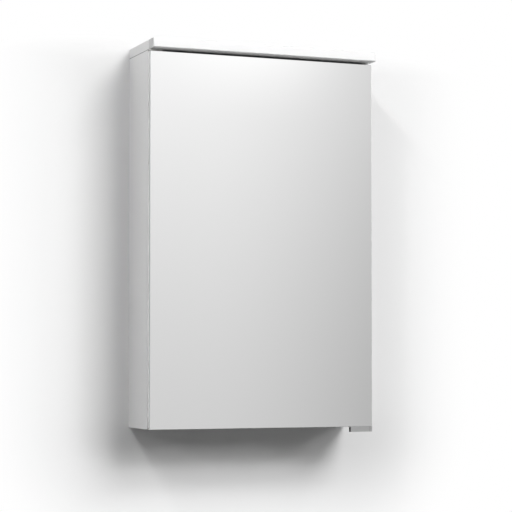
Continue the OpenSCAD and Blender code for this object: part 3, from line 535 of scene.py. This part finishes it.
@material
def raw_beech(s):
    """Dowel wood with flecks along its length."""
    fleck = s.noise(0.8 * MM, detail=4.0, stretch=(1, 1, 0.15))
    s.surface(s.principled(
        Base_Color=s.blend(fleck, (0.52, 0.34, 0.18, 1.0), (0.68, 0.48, 0.28, 1.0)),
        Roughness=0.7,
        Normal=s.bump(fleck, 0.1 * MM, 0.4),
    ))


@material
def white_sheath(s):
    """The soft sheath of a lead."""
    wave = s.noise(3 * MM, detail=2.0)
    s.surface(s.principled(
        Base_Color=grey(0.72),
        Roughness=0.38 + 0.1 * wave,
        Normal=s.bump(wave, 0.05 * MM, 0.3),
    ))


@material
def clear_dot(s):
    """The soft clear plastic of a door bumper."""
    haze = s.noise(1.5 * MM)
    s.surface(s.principled(
        Base_Color=grey(0.86),
        Roughness=0.18 + 0.1 * haze,
        Transmission_Weight=0.6,
        IOR=1.45,
    ))


FINISHES = {
    side_melamine: ["side_panel_left", "side_panel_right", "back_panel"],
    top_melamine: ["top_board"],
    floor_melamine: ["bottom_panel"],
    door_melamine: ["door_panel"],
    glass_shelf: ["glass_shelf_lower", "glass_shelf_middle", "glass_shelf_upper"],
    front_mirror: ["mirror_front"],
    inner_mirror: ["mirror_inner"],
    powder_coat: ["light_profile"],
    cap_moulding: ["end_cap_left", "end_cap_right"],
    grey_moulding: ["terminal_box", "terminal_lid", "cable_gland"],
    dark_moulding: ["grip_end_caps"],
    white_moulding: [
        "led_driver", "terminal_block", "switch_box", "switch_rocker", "access_caps",
        "catch_housing",
    ],
    bush_moulding: ["pivot_bushes"],
    opal_diffuser: ["light_diffuser"],
    solder_mask: ["led_board"],
    chip_case: ["led_chips"],
    nickel_plate: [
        "shelf_pins", "profile_screws", "driver_screws", "adjusting_screws", "pivot_plate_top",
        "pivot_plate_bottom", "pivot_pins", "pivot_plate_screws", "catch_screws", "strike_plate",
        "strike_screws", "grip_screws",
    ],
    satin_anodise: ["door_grip"],
    zinc_coat: ["wall_rail", "hanger_left", "hanger_right", "hanger_hooks"],
    ferrite: ["catch_magnet"],
    raw_beech: ["carcass_dowels"],
    white_sheath: ["strip_lead", "driver_lead", "switch_lead"],
    clear_dot: ["door_bumpers"],
}
FINISH_OF = {node: finish for finish, nodes in FINISHES.items() for node in nodes}
BODY_OF = {
    node: body for body, nodes in frame["record"]["behaviour"]["bodies"].items() for node in nodes
}


def dress_cad_nodes():
    """Every node that keeps its own mesh gets its finish."""
    for node, finish in FINISH_OF.items():
        mesh = frame["nodes"][node].data
        mesh.materials.clear()
        mesh.materials.append(finish())


# Pieces

# Two faces that meet at less than this angle, in degrees, are shaded as one curve
SMOOTH_ANGLE = 35
# An edge is rounded where its faces meet at more than this angle and it is longer than this
SHARP_ANGLE = 30
SHORTEST_EASED = 6 * MM
# Points of a node's copy that lie closer than this become one
MERGE_DISTANCE = 0.001 * MM
# Its faces that meet at less than this angle, in degrees, become one
FLAT_ANGLE = 0.5


def finished(mesh, name, node):
    """Turns a bmesh into a piece that stands for a node and rides with its body."""
    data = bpy.data.meshes.new(name)
    mesh.to_mesh(data)
    mesh.free()
    data.shade_smooth()
    data.set_sharp_from_angle(angle=radians(SMOOTH_ANGLE))
    data.materials.append(FINISH_OF[node]())
    piece = bpy.data.objects.new(name, data)
    bpy.context.scene.collection.objects.link(piece)
    weighted = piece.modifiers.new("even_shading", "WEIGHTED_NORMAL")
    weighted.keep_sharp = True
    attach(piece, BODY_OF[node])
    return piece


def merged_copy(node):
    """A node's mesh with its triangles joined."""
    mesh = bmesh.new()
    mesh.from_mesh(frame["nodes"][node].data)
    bmesh.ops.remove_doubles(mesh, verts=mesh.verts, dist=MERGE_DISTANCE)
    return mesh


def flattened_copy(node):
    """The same, with each flat face in as few pieces as it needs."""
    mesh = merged_copy(node)
    bmesh.ops.dissolve_limit(
        mesh, angle_limit=radians(FLAT_ANGLE), verts=mesh.verts, edges=mesh.edges,
    )
    return mesh


def is_sharp(edge):
    long_enough = edge.calc_length() > SHORTEST_EASED
    return edge.is_manifold and long_enough and edge.calc_face_angle() > radians(SHARP_ANGLE)


def eased(node, width):
    """A copy of a node whose longer edges are rounded, as every real edge is."""
    mesh = flattened_copy(node)
    bmesh.ops.bevel(
        mesh, geom=[edge for edge in mesh.edges if is_sharp(edge)], offset=width,
        offset_type="OFFSET", affect="EDGES", segments=2, profile=0.5, clamp_overlap=False,
        material=-1,
    )
    piece = finished(mesh, node + "_eased", node)
    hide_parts(node)
    return piece


# The nodes whose edges are rounded, by the width of the rounding
EASED = {
    0.5 * MM: ["side_panel_left", "side_panel_right", "top_board", "bottom_panel", "door_panel"],
    0.3 * MM: [
        "light_profile", "end_cap_left", "end_cap_right", "led_driver", "terminal_box",
        "terminal_lid", "switch_box", "catch_housing", "door_grip",
    ],
    0.2 * MM: [
        "light_diffuser", "grip_end_caps", "switch_rocker", "wall_rail", "hanger_left",
        "hanger_right",
    ],
}


def ease_edges():
    for width, nodes in EASED.items():
        for node in nodes:
            eased(node, width)


def loose_solids(node):
    """The points of each separate solid of a node."""
    mesh = merged_copy(node)
    seen = set()
    found = []
    for start in mesh.verts:
        if start in seen:
            continue
        seen.add(start)
        group = [start]
        for vert in group:
            around = [edge.other_vert(vert) for edge in vert.link_edges]
            fresh = [other for other in around if other not in seen]
            seen.update(fresh)
            group.extend(fresh)
        found.append([vert.co.copy() for vert in group])
    mesh.free()
    return found


# Slack in reading a screw's solid: depths near its tip and under its head, and its shank's radius
TIP_SLACK = 0.01 * MM
HEAD_SLACK = 0.05 * MM
SHANK_SLACK = 1.01
# A head whose flat underside reaches this many times the shank's radius is a pan head
PAN_REACH = 1.2
# Rings of a pan head and of a countersunk head below their flat top, as shares of radius and height
PAN_RINGS = [(0.93, 0.22), (1.0, 0.55), (1.0, 1.0)]
SUNK_RINGS = [(0.98, 0.06)]
# Radius of the flat top of each head, as a share of the head's
PAN_FLAT = 0.72
SUNK_FLAT = 0.94
# Squares along each side of the grid that the flat top is made from
TOP_SQUARES = 5
# Width and depth of the cross recess as shares of the head's radius, and the size of its floor as a
# share of its mouth's
RECESS_WIDTH = 0.20
RECESS_DEPTH = 0.45
RECESS_FLOOR = 0.6
# Radius of a screw's tip, as a share of the shank's
TIP_SHARE = 0.3


class ScrewSize:
    """What a screw's solid measures along and across its axis. Facing points out of its head."""

    def __init__(self, points, facing):
        middle = (Vector(map(min, zip(*points))) + Vector(map(max, zip(*points)))) / 2
        depths = [-(point - middle).dot(facing) for point in points]
        reaches = [((point - middle).cross(facing)).length for point in points]
        rings = list(zip(reaches, depths))
        head_depth = min(depths)
        tip_depth = max(depths)
        self.top = middle - head_depth * facing
        self.length = tip_depth - head_depth
        self.head_r = max(reaches)
        self.shank_r = max(reach for reach, depth in rings if depth > tip_depth - TIP_SLACK)
        shank_depth = min(depth for reach, depth in rings if reach < SHANK_SLACK * self.shank_r)
        self.head_h = shank_depth - head_depth
        under_head = [reach for reach, depth in rings if abs(depth - shank_depth) < HEAD_SLACK]
        self.raised = max(under_head) > PAN_REACH * self.shank_r
        self.flat_r = self.head_r * (PAN_FLAT if self.raised else SUNK_FLAT)

    def rings(self):
        """Radius and depth of each ring below the head's flat top."""
        shares = PAN_RINGS if self.raised else SUNK_RINGS
        head = [(radius * self.head_r, depth * self.head_h) for radius, depth in shares]
        shank = [(self.shank_r, self.head_h), (self.shank_r, self.length - self.shank_r)]
        return head + shank + [(TIP_SHARE * self.shank_r, self.length)]


def only(kind, parts):
    """The parts of one kind, such as BMVert, from what an operator made."""
    return [part for part in parts if isinstance(part, kind)]


def in_cross(face, slot):
    """Whether a square of the head's grid belongs to the cross recess."""
    middle = face.calc_center_median()
    return min(abs(middle.x), abs(middle.y)) < slot / 2 and middle.length < 3 * slot


def add_recessed_top(mesh, size):
    """The round flat top of a head with its cross recess. Returns its points and its rim."""
    slot = RECESS_WIDTH * size.head_r
    made = bmesh.ops.create_grid(
        mesh, x_segments=TOP_SQUARES, y_segments=TOP_SQUARES, size=5 * slot,
    )
    verts = made["verts"]
    faces = dict.fromkeys(face for vert in verts for face in vert.link_faces)
    arms = [face for face in faces if in_cross(face, slot)]
    edges = dict.fromkeys(edge for vert in verts for edge in vert.link_edges)
    rim = [edge for edge in edges if edge.is_boundary]
    for vert in dict.fromkeys(vert for edge in rim for vert in edge.verts):
        vert.co = vert.co.normalized() * size.flat_r
    floor = only(bmesh.types.BMVert, bmesh.ops.extrude_face_region(mesh, geom=arms)["geom"])
    bmesh.ops.scale(mesh, verts=floor, vec=(RECESS_FLOOR, RECESS_FLOOR, 1.0))
    bmesh.ops.translate(mesh, verts=floor, vec=(0, 0, -RECESS_DEPTH * size.head_r))
    bmesh.ops.delete(mesh, geom=[face for face in arms if face.is_valid], context="FACES_ONLY")
    return list(verts) + floor, rim


def add_screw(mesh, size, facing, turn):
    """A screw with a cross recess in its head, made pointing down and then set in its hole."""
    whole, rim = add_recessed_top(mesh, size)
    last_r = size.flat_r
    for radius, depth in size.rings():
        grown = bmesh.ops.extrude_edge_only(mesh, edges=rim)["geom"]
        ring = only(bmesh.types.BMVert, grown)
        rim = only(bmesh.types.BMEdge, grown)
        bmesh.ops.scale(mesh, verts=ring, vec=(radius / last_r, radius / last_r, 1.0))
        bmesh.ops.translate(mesh, verts=ring, vec=(0, 0, -depth - ring[0].co.z))
        last_r = radius
        whole += ring
    bmesh.ops.contextual_create(mesh, geom=rim)
    spin = Matrix.Rotation(turn, 4, "Z")
    stand = facing.to_track_quat("Z", "Y").to_matrix().to_4x4()
    bmesh.ops.transform(mesh, verts=whole, matrix=Matrix.Translation(size.top) @ stand @ spin)


# The way that the heads of each node's screws face
SCREW_FACING = {
    "profile_screws": (0, 0, 1),
    "pivot_plate_screws": (0, 0, -1),
    "grip_screws": (0, 0, -1),
    "strike_screws": (0, 1, 0),
    "catch_screws": (-1, 0, 0),
    "driver_screws": (0, 1, 0),
}


# How far the first screw of a node is turned, and each further one from the last, in radians
FIRST_TURN = 0.3
TURN_STEP = 0.7


def fit_screws():
    """Every small screw gets a real head. Each is left turned a little further than the last."""
    for node, direction in SCREW_FACING.items():
        facing = Vector(direction)
        mesh = bmesh.new()
        for count, points in enumerate(loose_solids(node)):
            add_screw(mesh, ScrewSize(points, facing), facing, TURN_STEP * count + FIRST_TURN)
        bmesh.ops.recalc_face_normals(mesh, faces=mesh.faces)
        piece = finished(mesh, node + "_with_recess", node)
        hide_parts(node)


CHIP_WALL = 0.45 * MM
WINDOW_DEPTH = 0.15 * MM
# A face whose normal's height is under this looks down
DOWNWARDS = -0.9


def mount_chips():
    """Each light chip is a white case with a sunk yellow window underneath."""
    mesh = flattened_copy("led_chips")
    windows = [face for face in mesh.faces if face.normal.z < DOWNWARDS]
    bmesh.ops.inset_individual(mesh, faces=windows, thickness=CHIP_WALL, depth=-WINDOW_DEPTH)
    for face in windows:
        face.material_index = 1
    piece = finished(mesh, "chips_with_windows", "led_chips")
    piece.data.materials.append(phosphor())
    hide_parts("led_chips")


# Stage, light and camera


def plane(name, corners):
    """A flat stage piece from its four corners."""
    mesh = bmesh.new()
    mesh.faces.new([mesh.verts.new(corner) for corner in corners])
    data = bpy.data.meshes.new(name)
    mesh.to_mesh(data)
    mesh.free()
    piece = bpy.data.objects.new(name, data)
    bpy.context.scene.collection.objects.link(piece)
    return piece


def faded_paint(s, rays, far, levels):
    """Dull paint that turns to an even white further off, where far goes from 0 to 1. The levels
    are the paint's as it is seen, the paint's for the light that it throws back, and the white's
    in mirrors."""
    seen, mirrored, bounced = rays
    seen_level, bounce_level, mirrored_level = levels
    colour = s.blend(bounced, grey(seen_level), grey(bounce_level))
    paint = s.node("ShaderNodeBsdfDiffuse", {}, {"Color": colour})
    glow = s.blend(mirrored, grey(1.0), grey(mirrored_level))
    white = s.node("ShaderNodeEmission", {}, {"Color": glow})
    return s.node("ShaderNodeMixShader", {}, {0: far * (seen + mirrored), 1: paint, 2: white})


def one_sided(s, shader, shown=1):
    """Puts the shader on the front side where shown is 1. Elsewhere nothing is there."""
    behind = s.node("ShaderNodeNewGeometry", {}, {}, output="Backfacing")
    clear = s.node("ShaderNodeBsdfTransparent", {}, {})
    s.surface(s.node("ShaderNodeMixShader", {}, {0: (1 - behind) * shown, 1: clear, 2: shader}))


# Levels of the wall as it is seen, for the light that it throws back, and in mirrors
# Near the cabinet the wall keeps this darker paint and further off turns white: painted shade that
# deepens its shadows there
WALL_LEVELS = (0.81, 0.63, 0.80)
# Distances from the cabinet's outline over which the wall turns white
WALL_FADE_START = 0.02
WALL_FADE_END = 0.26
# These distances start from an outline that lies this far inside the cabinet's, at the sides and
# below
WALL_TUCK = 5 * MM
# How far under the top the wall starts to turn white, and how much faster than at the sides
WALL_CLEAR_TOP = 20 * MM
WALL_CLEAR_HASTE = 6


@material
def pale_wall(s):
    """The wall shows from the room, in mirrors and as light thrown back on the cabinet's sides, and
    fades to white further off. From behind and for the lamps it isn't there. The part behind the
    cabinet throws nothing back, and the part over it throws no light down on the top."""
    rays = s.rays("Camera", "Glossy", "Diffuse")
    seen, mirrored, bounced = rays
    x, y, z = s.place()
    aside = (abs(x) - board_high.x + WALL_TUCK).clamped()
    under = (side_low.z + WALL_TUCK - z).clamped()
    over = ((z - board_high.z + WALL_CLEAR_TOP) * WALL_CLEAR_HASTE).clamped()
    distance = (aside * aside + under * under + over * over) ** 0.5
    over_cabinet = (abs(x) < board_high.x) * (z > board_high.z)
    thrown = (mirrored + bounced * (1 - over_cabinet)) * (distance > 0)
    # Painted shade: darker paint near the cabinet, white further off
    far = distance.ramp(WALL_FADE_START, WALL_FADE_END)
    one_sided(s, faded_paint(s, rays, far, WALL_LEVELS), (seen + thrown).clamped())


# Levels of the floor as it is seen, for the light that it throws back, and in mirrors
FLOOR_LEVELS = (0.8, 0.13, 0.62)
# Distances from the cabinet's middle over which the floor turns white
FLOOR_FADE_START = 0.6
FLOOR_FADE_END = 2.6


@material
def pale_floor(s):
    """Pale under the cabinet, fading to white further off, and dark for the light that it throws
    back. From below it isn't there."""
    x, y, z = s.place()
    rays = s.rays("Camera", "Glossy", "Diffuse")
    distance = (x * x + y * y) ** 0.5
    far = distance.ramp(FLOOR_FADE_START, FLOOR_FADE_END)
    one_sided(s, faded_paint(s, rays, far, FLOOR_LEVELS))


FLOOR_Z = -1.8
STAGE_HALF = 12.0
WALL_GAP = 0.5 * MM


def build_stage():
    """The wall stands just behind the cabinet's back edges, and the floor lies well under it."""
    stage_y = wall_y + WALL_GAP
    wall = plane("wall", [
        (-STAGE_HALF, stage_y, FLOOR_Z), (STAGE_HALF, stage_y, FLOOR_Z),
        (STAGE_HALF, stage_y, STAGE_HALF), (-STAGE_HALF, stage_y, STAGE_HALF),
    ])
    wall.data.materials.append(pale_wall())
    floor = plane("floor", [
        (-STAGE_HALF, -STAGE_HALF, FLOOR_Z), (STAGE_HALF, -STAGE_HALF, FLOOR_Z),
        (STAGE_HALF, STAGE_HALF, FLOOR_Z), (-STAGE_HALF, STAGE_HALF, FLOOR_Z),
    ])
    floor.data.materials.append(pale_floor())


CENTRE = (cabinet_low + cabinet_high) / 2
LAMP_DISTANCE = 9.0
NEAR_LAMP_DISTANCE = 3.2


def softbox(name, across, up, size, share, side=-1, distance=LAMP_DISTANCE):
    """An area lamp that faces the cabinet, on the line that runs across and up for each metre out.
    Share is the light that it throws on a surface square to the room, where 1 shows white paint
    white."""
    line = Vector((across, side, up))
    lamp = bpy.data.lights.new(name, "AREA")
    lamp.shape = "RECTANGLE"
    lamp.size, lamp.size_y = size
    lamp.energy = share * line.length * (pi * distance) ** 2
    piece = bpy.data.objects.new(name, lamp)
    piece.location = CENTRE + line.normalized() * distance
    piece.rotation_euler = (-line).to_track_quat("-Z", "Y").to_euler()
    piece.visible_camera = False
    piece.visible_glossy = False
    bpy.context.scene.collection.objects.link(piece)


def build_lamps():
    """Three lamps in front on the right, four on the left for the side panel, and one behind."""
    softbox("front_low", 0.43, 0.55, (4.2, 1.4), 0.27)
    softbox("front_side", 0.85, 0.30, (2.4, 1.4), 0.11)
    softbox("front_high", 0.46, 0.95, (5.0, 1.3), 0.34)
    softbox("left_broad", -0.90, 0.95, (2.4, 1.3), 0.064)
    softbox("left_low", -1.50, 0.50, (2.5, 1.5), 0.048)
    softbox("left_near", -0.95, 1.25, (0.22, 0.22), 0.075, distance=NEAR_LAMP_DISTANCE)
    softbox("left_high", -1.30, 1.60, (0.22, 0.22), 0.043, distance=NEAR_LAMP_DISTANCE)
    softbox("rear", 0.10, 0.05, (4.5, 4.5), 0.60, side=1)


# Even light that the room gives
ROOM_FILL = 0.04
# What mirrors reflect: a level for low directions, how much it rises upwards and how much of it is
# lost towards the top
GLOSS_LOW = 0.61
GLOSS_RISE = 0.86
GLOSS_TOP_FALL = 0.45
# How much of it is lost towards the right, and comes back at the far right
GLOSS_RIGHT_FALL = 0.55
GLOSS_RIGHT_BACK = 0.35
# A brighter patch, and the limit for all of it
GLOSS_PATCH = 0.20
GLOSS_LIMIT = 1.06


def mirrored_room(direction):
    """The level of the room in mirrors and metal, for a direction given by its three parts."""
    x, y, z = direction
    risen = GLOSS_LOW + GLOSS_RISE * z.ramp(-0.13, 0.56)
    height = risen * (1 - GLOSS_TOP_FALL * z.ramp(0.18, 0.60))
    side = 1 - GLOSS_RIGHT_FALL * x.ramp(0.337, 0.53) + GLOSS_RIGHT_BACK * x.ramp(0.60, 0.90)
    patch = GLOSS_PATCH * x.ramp(0.289, 0.378) * (1 - x.ramp(0.376, 0.422)) * z.ramp(0.127, 0.196)
    return (height * side + patch).at_most(GLOSS_LIMIT)


def build_world():
    """Even light for the room, white for the camera, and a soft gradient for mirrors and metal."""
    world = bpy.data.worlds.new("studio")
    bpy.context.scene.world = world
    s = Shader(world)
    direction = s.split(s.node("ShaderNodeTexCoord", {}, {}, output="Generated"))
    seen, through, glossy = s.rays("Camera", "Transmission", "Glossy")
    white = (seen + through).clamped()
    lit = glossy * mirrored_room(direction) + (1 - glossy) * ROOM_FILL
    level = white + (1 - white) * lit
    colour = s.node("ShaderNodeCombineColor", {}, {0: level, 1: level, 2: level})
    background = s.node("ShaderNodeBackground", {}, {"Color": colour, "Strength": 1.0})
    s.node("ShaderNodeOutputWorld", {}, {"Surface": background}, output=None)


# The photograph's viewpoint, fitted to the cabinet's corners: the place in metres, the angles in
# degrees and the lens in millimetres
CAMERA_AT = (-1.1193, -2.8859, -0.4402)
CAMERA_TURN = -21.735
CAMERA_TILT = 2.06
CAMERA_LENS = 125.79
CAMERA_SENSOR = 36.0
CAMERA_SHIFT = 0.07


def build_camera():
    view = bpy.data.cameras.new("camera")
    view.lens = CAMERA_LENS
    view.sensor_width = CAMERA_SENSOR
    view.shift_y = CAMERA_SHIFT
    camera = bpy.data.objects.new("camera", view)
    camera.location = CAMERA_AT
    camera.rotation_euler = (radians(90 + CAMERA_TILT), 0, radians(CAMERA_TURN))
    bpy.context.scene.collection.objects.link(camera)
    bpy.context.scene.camera = camera


build_camera()
build_stage()
build_lamps()
build_world()
dress_cad_nodes()
ease_edges()
fit_screws()
mount_chips()
bpy.context.scene.view_settings.view_transform = "Standard"
